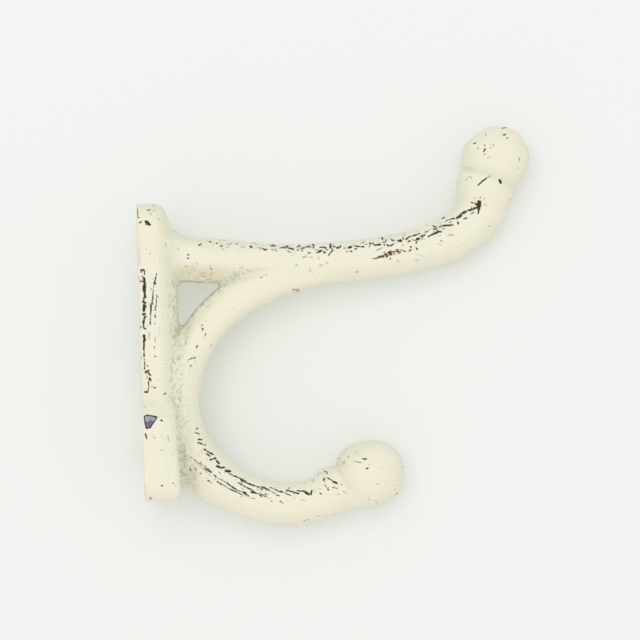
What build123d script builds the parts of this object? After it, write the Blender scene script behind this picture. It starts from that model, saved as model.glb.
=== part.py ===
from build123d import *
import math
import os

# Double coat hook, one iron casting: a wall plate, a long upper arm that ends
# in a ball, and a lower arm that curls down from the upper one and turns up
# into a second ball. Millimetres. +Z is up, the wall is the plane Y = 0, the
# arms reach out towards -Y, and the casting is symmetric about X = 0. The
# origin is the middle of the plate's back face. "Reach" below is the distance
# out from the wall, so a point at reach u and height z is (0, -u, z).

os.makedirs("parts", exist_ok=True)

# ------------------------------------------------------------ wall plate
plate_top = 36.7  # height of the plate's top end
plate_bottom = -36.1  # height of its bottom edge
neck_half_width = 9.0  # half width of the tab and neck
edge_height = 5.0  # thickness at the neck's side edges
dome_rise = 4.8  # rise of the pillowed front over the edges
shoulder_top = -11.0  # where the neck starts to widen
shoulder_foot = -15.6  # where the lobe reaches its full width
lobe_half_width = 14.6  # half width of the bottom lobe
lobe_thickness = 9.0
lobe_corner = 4.6  # corner radius of the lobe in front view
shoulder_corner = 2.4  # rounding where the shoulder meets the side
lobe_front_round = 2.2  # rounding of the lobe's front edge
back_round = 0.8  # rounding of the neck's edges at the wall
root_fillet = 1.6  # blend between the upper arm and the plate

# ------------------------------------------------------------ screw holes
screw_hole_radius = 2.2
upper_sink_radius = 3.5
lower_sink_radius = 3.8
upper_hole_z = 33.1
lower_hole_x = 9.5
lower_hole_z = -26.0

# ------------------------------------------------------------ arms and balls
ball_radius = 8.6
upper_ball_at = (90.3, 45.4)  # reach, height
lower_ball_at = (56.75, -32.35)
upper_bead_at = (87.35, 38.4)
upper_bead_radius = 7.4
lower_bead_at = (47.3, -36.3)
lower_bead_radius = 6.2

# Stations along each arm: reach, height, radius.
upper_arm = [
    (5.0, 22.7, 5.85),
    (13.0, 22.4, 5.80),
    (22.0, 21.75, 5.53),
    (32.0, 21.05, 5.20),
    (42.0, 20.7, 5.12),
    (52.0, 21.05, 5.25),
    (60.95, 21.95, 5.20),
    (69.45, 23.35, 5.30),
    (76.6, 25.4, 5.60),
    (82.2, 28.4, 5.80),
    (86.0, 32.55, 5.95),
    (88.0, 37.6, 5.95),
    (90.0, 44.0, 6.00),
]
lower_arm = [
    (52.0, 20.5, 4.30),
    (43.0, 19.15, 4.65),
    (34.0, 16.85, 4.88),
    (25.5, 13.1, 4.92),
    (18.7, 8.0, 4.96),
    (13.65, 1.35, 4.95),
    (10.75, -5.55, 4.95),
    (9.5, -13.0, 4.95),
    (10.3, -19.6, 5.10),
    (12.95, -26.15, 5.60),
    (17.3, -31.85, 6.00),
    (23.75, -35.8, 5.60),
    (30.6, -38.35, 5.50),
    (38.0, -39.15, 5.40),
    (45.4, -37.6, 5.25),
    (55.6, -32.85, 5.40),
]


def section_planes(stations):
    """A plane square to the arm at each station, with X across the casting."""
    path = Spline(*[(0, -u, z) for u, z, radius in stations], mode=Mode.PRIVATE)
    planes = []
    for u, z, radius in stations:
        at = path.param_at_point((0, -u, z))
        planes.append(Plane(origin=(0, -u, z), x_dir=(1, 0, 0), z_dir=path % at))
    return planes


upper_planes = section_planes(upper_arm)
lower_planes = section_planes(lower_arm)

with BuildPart() as casting:
    # Neck: a straight length with a pillowed front, and its rounded top end.
    tab_centre = plate_top - neck_half_width
    neck_foot = shoulder_top - 8.0
    w, e, b = neck_half_width, edge_height, back_round
    knee = b * (1 - math.sqrt(0.5))
    # The pillowed front is part of a circle through the edges and the ridge.
    dome_circle = (w * w + dome_rise * dome_rise) / (2 * dome_rise)
    dome_half = math.sqrt(dome_circle**2 - (w * 0.5) ** 2) - dome_circle + dome_rise
    with BuildSketch(Plane.XY.offset(neck_foot)) as neck_section:
        with BuildLine() as neck_outline:
            Line((-w + b, 0), (w - b, 0))
            ThreePointArc((w - b, 0), (w - knee, -knee), (w, -b))
            Line((w, -b), (w, -e))
            ThreePointArc((-w, -e), (0, -e - dome_rise), (w, -e))
            Line((-w, -e), (-w, -b))
            ThreePointArc((-w, -b), (-w + knee, -knee), (-w + b, 0))
        make_face()
    extrude(amount=tab_centre - neck_foot)
    with BuildSketch(Plane.XY.offset(tab_centre)) as tab_half_section:
        with BuildLine() as tab_outline:
            Line((0, 0), (w - b, 0))
            ThreePointArc((w - b, 0), (w - knee, -knee), (w, -b))
            Line((w, -b), (w, -e))
            ThreePointArc((w, -e), (w * 0.5, -e - dome_half), (0, -e - dome_rise))
            Line((0, -e - dome_rise), (0, 0))
        make_face()
    revolve(axis=Axis((0, 0, tab_centre), (0, -1, 0)), revolution_arc=180)

    # Bottom lobe, with sloping shoulders up to the neck.
    with BuildSketch(Plane.XZ) as lobe_sketch:
        with BuildLine() as lobe_outline:
            Polyline(
                (-neck_half_width + 0.4, shoulder_top),
                (neck_half_width - 0.4, shoulder_top),
                (lobe_half_width, shoulder_foot),
                (lobe_half_width, plate_bottom),
                (-lobe_half_width, plate_bottom),
                (-lobe_half_width, shoulder_foot),
                close=True,
            )
        make_face()
        fillet(lobe_sketch.vertices().group_by(Axis.Y)[0], radius=lobe_corner)
        fillet(
            [v for v in lobe_sketch.vertices() if abs(v.Y - shoulder_foot) < 0.1],
            radius=shoulder_corner,
        )
    lobe = extrude(amount=lobe_thickness, mode=Mode.PRIVATE)
    lobe_front = lobe.faces().sort_by(Axis.Y)[0]
    lobe = lobe.fillet(lobe_front_round, lobe_front.edges())
    add(lobe)

    # Upper arm, from inside the plate to the middle of its ball.
    for plane, (u, z, radius) in zip(upper_planes, upper_arm):
        with BuildSketch(plane):
            Circle(radius)
    loft()

    # Lower arm, from inside the upper arm to the middle of its ball.
    for plane, (u, z, radius) in zip(lower_planes, lower_arm):
        with BuildSketch(plane):
            Circle(radius)
    loft()

    # Blend round the upper arm's root, where it meets the pillowed front.
    root_edges = [
        edge
        for edge in casting.edges()
        if edge.length > 1
        and edge.bounding_box().min.Y > -11
        and edge.bounding_box().max.Y < -7.5
        and edge.bounding_box().min.Z > 15
        and edge.bounding_box().max.Z < 30
        and edge.bounding_box().size.X < 12.5
    ]
    fillet(root_edges, radius=root_fillet)

    # Balls, and the bead below each.
    for u, z in (upper_ball_at, lower_ball_at):
        with Locations((0, -u, z)):
            Sphere(radius=ball_radius)
    with Locations((0, -upper_bead_at[0], upper_bead_at[1])):
        Sphere(radius=upper_bead_radius)
    with Locations((0, -lower_bead_at[0], lower_bead_at[1])):
        Sphere(radius=lower_bead_radius)

    # Screw holes, countersunk from the front.
    upper_front = (
        edge_height
        + dome_rise
        - dome_circle
        + math.sqrt(dome_circle**2 - (upper_hole_z - tab_centre) ** 2)
    )
    with Locations(Plane.XZ.offset(upper_front)):
        with Locations((0, upper_hole_z)):
            CounterSinkHole(
                radius=screw_hole_radius,
                counter_sink_radius=upper_sink_radius,
                depth=upper_front + 1,
                counter_sink_angle=90,
            )
    with Locations(Plane.XZ.offset(lobe_thickness)):
        with Locations((-lower_hole_x, lower_hole_z), (lower_hole_x, lower_hole_z)):
            CounterSinkHole(
                radius=screw_hole_radius,
                counter_sink_radius=lower_sink_radius,
                depth=lobe_thickness + 1,
                counter_sink_angle=90,
            )

casting.part.label = "hook_casting"
export_step(casting.part, "parts/hook_casting.step")
print("volume mm3", round(casting.part.volume, 1))
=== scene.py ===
import math

import bmesh
import bpy
import numpy as np
from mathutils import Matrix, Vector


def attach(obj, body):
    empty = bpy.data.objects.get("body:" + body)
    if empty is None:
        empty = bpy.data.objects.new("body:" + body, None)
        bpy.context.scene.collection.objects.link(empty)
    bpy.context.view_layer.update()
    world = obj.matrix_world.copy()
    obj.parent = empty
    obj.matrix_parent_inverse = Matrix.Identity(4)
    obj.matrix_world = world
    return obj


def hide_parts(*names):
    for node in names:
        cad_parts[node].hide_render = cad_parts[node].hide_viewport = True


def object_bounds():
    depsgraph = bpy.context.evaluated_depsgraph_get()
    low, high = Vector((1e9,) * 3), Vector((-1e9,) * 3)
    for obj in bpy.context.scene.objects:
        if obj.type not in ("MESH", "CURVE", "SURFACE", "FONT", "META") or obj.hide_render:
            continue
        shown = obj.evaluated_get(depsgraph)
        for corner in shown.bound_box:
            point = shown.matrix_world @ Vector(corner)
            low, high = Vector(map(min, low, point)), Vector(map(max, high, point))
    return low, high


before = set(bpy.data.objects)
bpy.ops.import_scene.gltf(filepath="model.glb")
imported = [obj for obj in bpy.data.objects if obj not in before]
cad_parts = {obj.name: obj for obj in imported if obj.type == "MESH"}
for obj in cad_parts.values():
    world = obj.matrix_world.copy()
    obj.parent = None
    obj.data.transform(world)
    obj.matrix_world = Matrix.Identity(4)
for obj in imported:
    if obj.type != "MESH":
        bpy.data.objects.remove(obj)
cad_lo, cad_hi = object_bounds()
MM = 0.001

# Lengths below are millimetres. A point is (x, u, z): x across the casting,
# u the reach out from the wall (u = -Y), z the height.

# ------------------------------------------------------------------ the form
PLATE_TOP, PLATE_BOTTOM = 36.7, -36.1
NECK_HALF, EDGE, DOME = 9.0, 5.0, 4.8
SHOULDER_TOP, SHOULDER_FOOT = -11.0, -15.6
LOBE_HALF, LOBE_THICK, LOBE_CORNER = 14.6, 9.0, 4.6
TAB_CENTRE = PLATE_TOP - NECK_HALF
BALL_R = 8.5
UPPER_BALL, LOWER_BALL = (90.3, 45.4), (56.75, -32.35)
UPPER_BEAD, UPPER_BEAD_R = (87.35, 38.4), 7.35
LOWER_BEAD, LOWER_BEAD_R = (47.3, -36.3), 6.15
# Flats and shoulders round each ball's outline: (degrees from straight out, mm over the radius).
UPPER_FLATS = [(-30, -0.35), (-12, 0.0), (15, 0.33), (35, 0.0), (58, 0.55), (80, 0.05), (105, -0.25),
               (135, -0.42), (157, 0.35), (185, 0.1), (260, 0.0), (330, -0.35)]
LOWER_FLATS = [(-45, 0.3), (-15, -0.12), (5, -0.1), (30, 0.35), (60, 0.15), (88, -0.25), (112, 0.0),
               (135, 0.6), (152, 0.8), (180, 0.2), (240, 0.35), (268, 0.35), (284, 0.0), (298, -0.3), (315, 0.3)]
HOLE_R, UPPER_SINK, LOWER_SINK = 2.2, 3.5, 3.8
UPPER_HOLE_Z, LOWER_HOLE_X, LOWER_HOLE_Z = 33.1, 9.5, -26.0

UPPER_ARM = np.array([
    (5.0, 22.7, 5.85), (13.0, 22.4, 5.80), (22.0, 21.75, 5.53), (32.0, 21.05, 5.20),
    (42.0, 20.7, 5.12), (52.0, 21.05, 5.25), (60.95, 21.95, 5.20), (69.45, 23.35, 5.30),
    (76.6, 25.4, 5.60), (82.2, 28.4, 5.80), (86.0, 32.55, 5.95), (88.0, 37.6, 5.95),
    (90.0, 44.0, 6.00),
])
LOWER_ARM = np.array([
    (52.0, 20.5, 4.30), (43.0, 19.15, 4.65), (34.0, 16.85, 4.88), (25.5, 13.1, 4.92),
    (18.7, 8.0, 4.96), (13.65, 1.35, 4.95), (10.75, -5.55, 4.95), (9.5, -13.0, 4.95),
    (10.3, -19.6, 5.10), (12.95, -26.15, 5.60), (17.3, -31.85, 6.0), (23.75, -35.8, 5.60),
    (30.6, -38.35, 5.50), (38.0, -39.15, 5.40), (45.4, -37.6, 5.25), (55.6, -32.85, 5.40),
])


def spline(points, per=10):
    """A smooth curve through the stations, sampled, as Catmull-Rom with chord-length spacing."""
    p = np.vstack([2 * points[0] - points[1], points, 2 * points[-1] - points[-2]])
    out = []
    for i in range(1, len(p) - 2):
        p0, p1, p2, p3 = p[i - 1], p[i], p[i + 1], p[i + 2]
        d0, d1, d2 = (math.sqrt(np.hypot(*(b - a)[:2])) for a, b in ((p0, p1), (p1, p2), (p2, p3)))
        m1 = (p1 - p0) / d0 - (p2 - p0) / (d0 + d1) + (p2 - p1) / d1
        m2 = (p2 - p1) / d1 - (p3 - p1) / (d1 + d2) + (p3 - p2) / d2
        m1, m2 = m1 * d1, m2 * d1
        for k in range(per):
            t = k / per
            out.append((2 * t**3 - 3 * t**2 + 1) * p1 + (t**3 - 2 * t**2 + t) * m1
                       + (-2 * t**3 + 3 * t**2) * p2 + (t**3 - t**2) * m2)
    out.append(p[-2])
    return np.array(out)


GRID_LO, GRID_STEP = np.array([-6.0, -52.0]), 0.25
GRID_N = (460, 460)


class Arm:
    """Distance along, offset in the plane and thickness of an arm, tabled over the casting's middle plane."""

    def __init__(self, stations):
        self.line = spline(stations)
        a, b = self.line[:-1], self.line[1:]
        seg = b[:, :2] - a[:, :2]
        length = np.hypot(seg[:, 0], seg[:, 1])
        start = np.concatenate([[0], np.cumsum(length)[:-1]])
        self.length = float(length.sum())
        gu = GRID_LO[0] + GRID_STEP * np.arange(GRID_N[0])
        gz = GRID_LO[1] + GRID_STEP * np.arange(GRID_N[1])
        q = np.stack(np.meshgrid(gu, gz, indexing="ij"), -1).reshape(-1, 2)
        best = np.full(len(q), 1e9)
        self.tab = np.zeros((4, len(q)))
        for i in range(len(seg)):
            rel = q - a[i, :2]
            t = np.clip(rel @ seg[i] / length[i] ** 2, 0, 1)
            off = rel - t[:, None] * seg[i]
            d = np.hypot(off[:, 0], off[:, 1])
            near = d < best
            best[near] = d[near]
            side = np.sign(seg[i, 0] * rel[near, 1] - seg[i, 1] * rel[near, 0])
            self.tab[0, near] = start[i] + t[near] * length[i]
            self.tab[1, near] = d[near] * side
            self.tab[2, near] = a[i, 2] + t[near] * (b[i, 2] - a[i, 2])
            self.tab[3, near] = d[near]
        self.tab = self.tab.reshape(4, *GRID_N)

    def at(self, u, z, rows=(0, 1, 2, 3)):
        fu = np.clip((u - GRID_LO[0]) / GRID_STEP, 0, GRID_N[0] - 1.001)
        fz = np.clip((z - GRID_LO[1]) / GRID_STEP, 0, GRID_N[1] - 1.001)
        iu, iz = fu.astype(int), fz.astype(int)
        fu, fz = fu - iu, fz - iz
        out = []
        for r in rows:
            t = self.tab[r]
            out.append((t[iu, iz] * (1 - fu) + t[iu + 1, iz] * fu) * (1 - fz)
                       + (t[iu, iz + 1] * (1 - fu) + t[iu + 1, iz + 1] * fu) * fz)
        return out


upper, lower = Arm(UPPER_ARM), Arm(LOWER_ARM)


def smin(a, b, k):
    h = np.maximum(k - np.abs(a - b), 0) / k
    return np.minimum(a, b) - h * h * k * 0.25


def smax(a, b, k):
    return -smin(-a, -b, k)


def ramp(v, a, b):
    t = np.clip((v - a) / (b - a), 0, 1)
    return t * t * (3 - 2 * t)


def arm_form(arm, x, u, z):
    """Both arms have worn flats: a narrow one on the inner side, a broad one each side, and one
    below that slopes in under the arm. Near the wall the upper arm is almost a keel."""
    s, c, r, d = arm.at(u, z)
    ax = np.abs(x)
    if arm is upper:
        flat, low = 0.95 - 0.45 * ramp(s, 30, 60), 0.80 + 0.13 * ramp(s, 24, 52)
    else:
        flat, low = 0.5, 0.93
    broad = ax * 0.985 + c * 0.174 - 0.955 * r
    inner = ax * 0.469 + c * 0.883 - 0.955 * r
    below = ax * 0.707 - c * 0.707 - low * r
    facets = smax(smax(broad, inner, 1.7), c - r - 0.2, 1.5)
    facets = smax(smax(facets, below, 1.15), -c - r - 0.15, 1.2)
    soft = (ax ** 2.3 + d ** 2.3) ** (1 / 2.3) - r - 0.05
    return flat * facets + (1 - flat) * soft


def ball_form(centre, radius, x, u, z, flats=None):
    du, dz = u - centre[0], z - centre[1]
    plane = du * du + dz * dz
    d = np.sqrt(x * x + plane)
    if flats is not None:
        turn = np.degrees(np.arctan2(dz, du))
        angle = [a for a, _ in flats]
        over = np.interp(turn, angle, [v for _, v in flats], period=360)
        soft = sum(np.interp(turn + k, angle, [v for _, v in flats], period=360) for k in (-9, 9))
        radius = radius + (over + soft) / 3 * plane / np.maximum(d * d, 1e-6)
    return d - radius


def polygon_form(px, pz, corners):
    """Signed distance to a closed outline, negative inside."""
    inside = np.zeros(px.shape, bool)
    best = np.full(px.shape, 1e9)
    n = len(corners)
    for i in range(n):
        (x0, z0), (x1, z1) = corners[i], corners[(i + 1) % n]
        ex, ez = x1 - x0, z1 - z0
        t = np.clip(((px - x0) * ex + (pz - z0) * ez) / (ex * ex + ez * ez), 0, 1)
        best = np.minimum(best, np.hypot(px - x0 - t * ex, pz - z0 - t * ez))
        cross = ((z0 > pz) != (z1 > pz)) & (px < (x1 - x0) * (pz - z0) / (z1 - z0 + 1e-12) + x0)
        inside ^= cross
    return np.where(inside, -best, best)


def plate_form(x, u, z):
    ax = np.abs(x)
    # Neck and tab: a long tongue with a round top.
    over = np.maximum(z - TAB_CENTRE, 0)
    # The neck below the tab stands a little prouder at its edges.
    step = 0.22 / (1 + np.exp((z - 21.4) / 0.35))
    d_neck = np.where(z > TAB_CENTRE, np.hypot(ax, over), ax) - NECK_HALF - step
    share = np.clip((d_neck + NECK_HALF) / NECK_HALF, 0, 1)
    front = EDGE + DOME * np.maximum(1 - share ** 2, 0) ** 0.7 + step * 0.6
    slope = 0.75
    neck = smax(smax(d_neck, (u - front) * slope, 0.9), -9.5 - (z + 11.0) * 1.0 - 0 * z, 0.5)
    neck = smax(neck, -u, 0.9)
    # Bottom lobe with sloping shoulders.
    r = LOBE_CORNER
    outline = [(-NECK_HALF, SHOULDER_TOP), (NECK_HALF, SHOULDER_TOP),
               (LOBE_HALF, SHOULDER_FOOT), (LOBE_HALF, PLATE_BOTTOM + r),
               (LOBE_HALF - r, PLATE_BOTTOM + r), (-LOBE_HALF + r, PLATE_BOTTOM + r),
               (-LOBE_HALF, PLATE_BOTTOM + r), (-LOBE_HALF, SHOULDER_FOOT)]
    top = polygon_form(x, z, outline)
    bx, bz = np.maximum(ax - (LOBE_HALF - r), 0), np.maximum(-(z - (PLATE_BOTTOM + r)), 0)
    low = np.hypot(bx, bz) - r
    low = np.where(z > PLATE_BOTTOM + r, top, low)
    d_lobe = np.where(z < PLATE_BOTTOM + r, low, np.minimum(top, ax - LOBE_HALF + 40 * (z > SHOULDER_FOOT)))
    d_lobe = np.where((z < SHOULDER_FOOT) & (z >= PLATE_BOTTOM + r),
                      np.maximum(ax - LOBE_HALF, -np.minimum(SHOULDER_FOOT - z + 3, 50)), d_lobe)
    lobe = smax(d_lobe, u - LOBE_THICK, 4.6 - 2.9 * ramp(-z, 15, 36))
    lobe = smax(lobe, -u, 0.7)
    return smin(neck, lobe, 0.8)


def holes_form(x, u, z):
    """Negative inside a screw hole or its countersink."""
    front = EDGE + DOME * (1 - ((UPPER_HOLE_Z - TAB_CENTRE) / NECK_HALF) ** 2) ** 0.7
    a = np.hypot(x, z - UPPER_HOLE_Z)
    top = np.minimum(a - HOLE_R, (a - (UPPER_SINK - (front - u))) * 0.7071)
    top = np.maximum(top, u - front - 0.8)
    b = np.hypot(np.abs(x) - LOWER_HOLE_X, z - LOWER_HOLE_Z)
    low = np.minimum(b - HOLE_R, (b - (LOWER_SINK - (LOBE_THICK - u))) * 0.7071)
    low = np.maximum(low, u - LOBE_THICK - 0.8)
    return np.minimum(top, low)


def form(x, u, z):
    """The casting as a field: negative inside, about the distance in millimetres."""
    arms = smin(arm_form(upper, x, u, z), arm_form(lower, x, u, z), 0.8)
    arms = smax(arms, 4.2 - u, 0.8)
    body = smin(plate_form(x, u, z), arms, 1.3 + 1.5 * ramp(-z, -5, 3) + 0.9 * ramp(-z, 14, 30) + 2.2 * ramp(z, 22, 27))
    beads = np.minimum(ball_form(UPPER_BEAD, UPPER_BEAD_R, x, u, z),
                       ball_form(LOWER_BEAD, LOWER_BEAD_R, x, u, z))
    body = smin(body, beads, 1.0)
    balls = np.minimum(ball_form(UPPER_BALL, BALL_R, x, u, z, UPPER_FLATS),
                       ball_form(LOWER_BALL, BALL_R, x, u, z, LOWER_FLATS))
    body = smin(body, balls, 0.35 + 2.0 * ramp(-z, 36, 40))
    return smax(body, -holes_form(x, u, z), 0.7)


def joint_form(x, u, z):
    """About the distance from the line where each ball meets its bead."""
    top = np.hypot(ball_form(UPPER_BALL, BALL_R, x, u, z, UPPER_FLATS), ball_form(UPPER_BEAD, UPPER_BEAD_R, x, u, z))
    low = np.hypot(ball_form(LOWER_BALL, BALL_R, x, u, z, LOWER_FLATS), ball_form(LOWER_BEAD, LOWER_BEAD_R, x, u, z))
    return np.minimum(top, low + 1.5 * ramp(-z, 35, 39))


def gradient(x, u, z, e=0.02):
    g = np.stack([form(x + e, u, z) - form(x - e, u, z),
                  form(x, u + e, z) - form(x, u - e, z),
                  form(x, u, z + e) - form(x, u, z - e)], -1) / (2 * e)
    return g


def settle(p, steps=3, cap=0.6):
    """Moves points onto the form's surface."""
    for _ in range(steps):
        f = form(p[:, 0], p[:, 1], p[:, 2])
        g = gradient(p[:, 0], p[:, 1], p[:, 2])
        n2 = np.maximum((g * g).sum(1), 0.15)
        move = np.clip(f / n2, -cap, cap)[:, None] * g
        p = p - move
    return p


# ---------------------------------------------------------------- seeded noise
def lattice(ix, iy, iz, seed):
    h = (ix * 374761393 + iy * 668265263 + iz * 2147483647 + seed * 144269504) & 0xFFFFFFFF
    h = (h ^ (h >> 13)) * 1274126177 & 0xFFFFFFFF
    h = h ^ (h >> 16)
    return (h & 0xFFFF) / 65535.0


def noise(p, scale, seed):
    """Smooth value noise from -1 to 1, over points in millimetres."""
    q = p / scale
    i = np.floor(q).astype(np.int64)
    f = q - i
    f = f * f * f * (f * (f * 6 - 15) + 10)
    total = np.zeros(len(p))
    for dx in (0, 1):
        for dy in (0, 1):
            for dz in (0, 1):
                w = (np.abs(1 - dx - f[:, 0]) * np.abs(1 - dy - f[:, 1]) * np.abs(1 - dz - f[:, 2]))
                total += w * lattice(i[:, 0] + dx, i[:, 1] + dy, i[:, 2] + dz, seed)
    return total * 2 - 1


# ------------------------------------------------------------------- the skin
def to_form(co):
    """Row metres to (x, u, z) millimetres."""
    return np.stack([co[:, 0], -co[:, 1], co[:, 2]], 1) * 1000.0


def read(mesh):
    co = np.zeros(len(mesh.vertices) * 3)
    mesh.vertices.foreach_get("co", co)
    return co.reshape(-1, 3)


def write(mesh, co):
    mesh.vertices.foreach_set("co", np.ascontiguousarray(co, dtype=np.float32).ravel())
    mesh.update()


def remeshed(mesh, voxel):
    """A copy of a mesh, in millimetres, remeshed to even quads."""
    tmp = bpy.data.objects.new("tmp_remesh", mesh)
    bpy.context.scene.collection.objects.link(tmp)
    mod = tmp.modifiers.new("voxel", "REMESH")
    mod.mode, mod.voxel_size, mod.adaptivity = "VOXEL", voxel, 0.0
    out = bpy.data.meshes.new_from_object(tmp.evaluated_get(bpy.context.evaluated_depsgraph_get()))
    bpy.data.objects.remove(tmp)
    return out


def form_mm(mesh):
    co = read(mesh)
    return np.stack([co[:, 0], -co[:, 1], co[:, 2]], 1)


def row_mm(p):
    return np.stack([p[:, 0], -p[:, 1], p[:, 2]], 1)


# ------------------------------------------------------------------- the view
# The hook lies on its side, on the widest edge of its plate and on both balls,
# and the camera looks almost straight down on it.
up = np.array([-1.0, 0.0905, 0.0425])
up /= np.linalg.norm(up)
ROLL, DISTANCE = math.radians(1.703), 0.50
middle = np.array([0.0, -0.04498, 0.00652])
FOCUS = 2001.1  # pixels, for a frame 640 wide
right = np.array([0.0, -1.0, 0.0])
right -= right @ up * up
right /= np.linalg.norm(right)
above = np.cross(up, right)
right, above = (right * math.cos(ROLL) - above * math.sin(ROLL),
                above * math.cos(ROLL) + right * math.sin(ROLL))
eye = middle + up * DISTANCE


def seen_at(p):
    """Where form points fall in the 640 x 640 frame."""
    rel = np.stack([p[:, 0], -p[:, 1], p[:, 2]], 1) * MM - eye
    depth = -(rel @ up)
    return 320 + FOCUS * (rel @ right) / depth, 320 - FOCUS * (rel @ above) / depth


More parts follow.
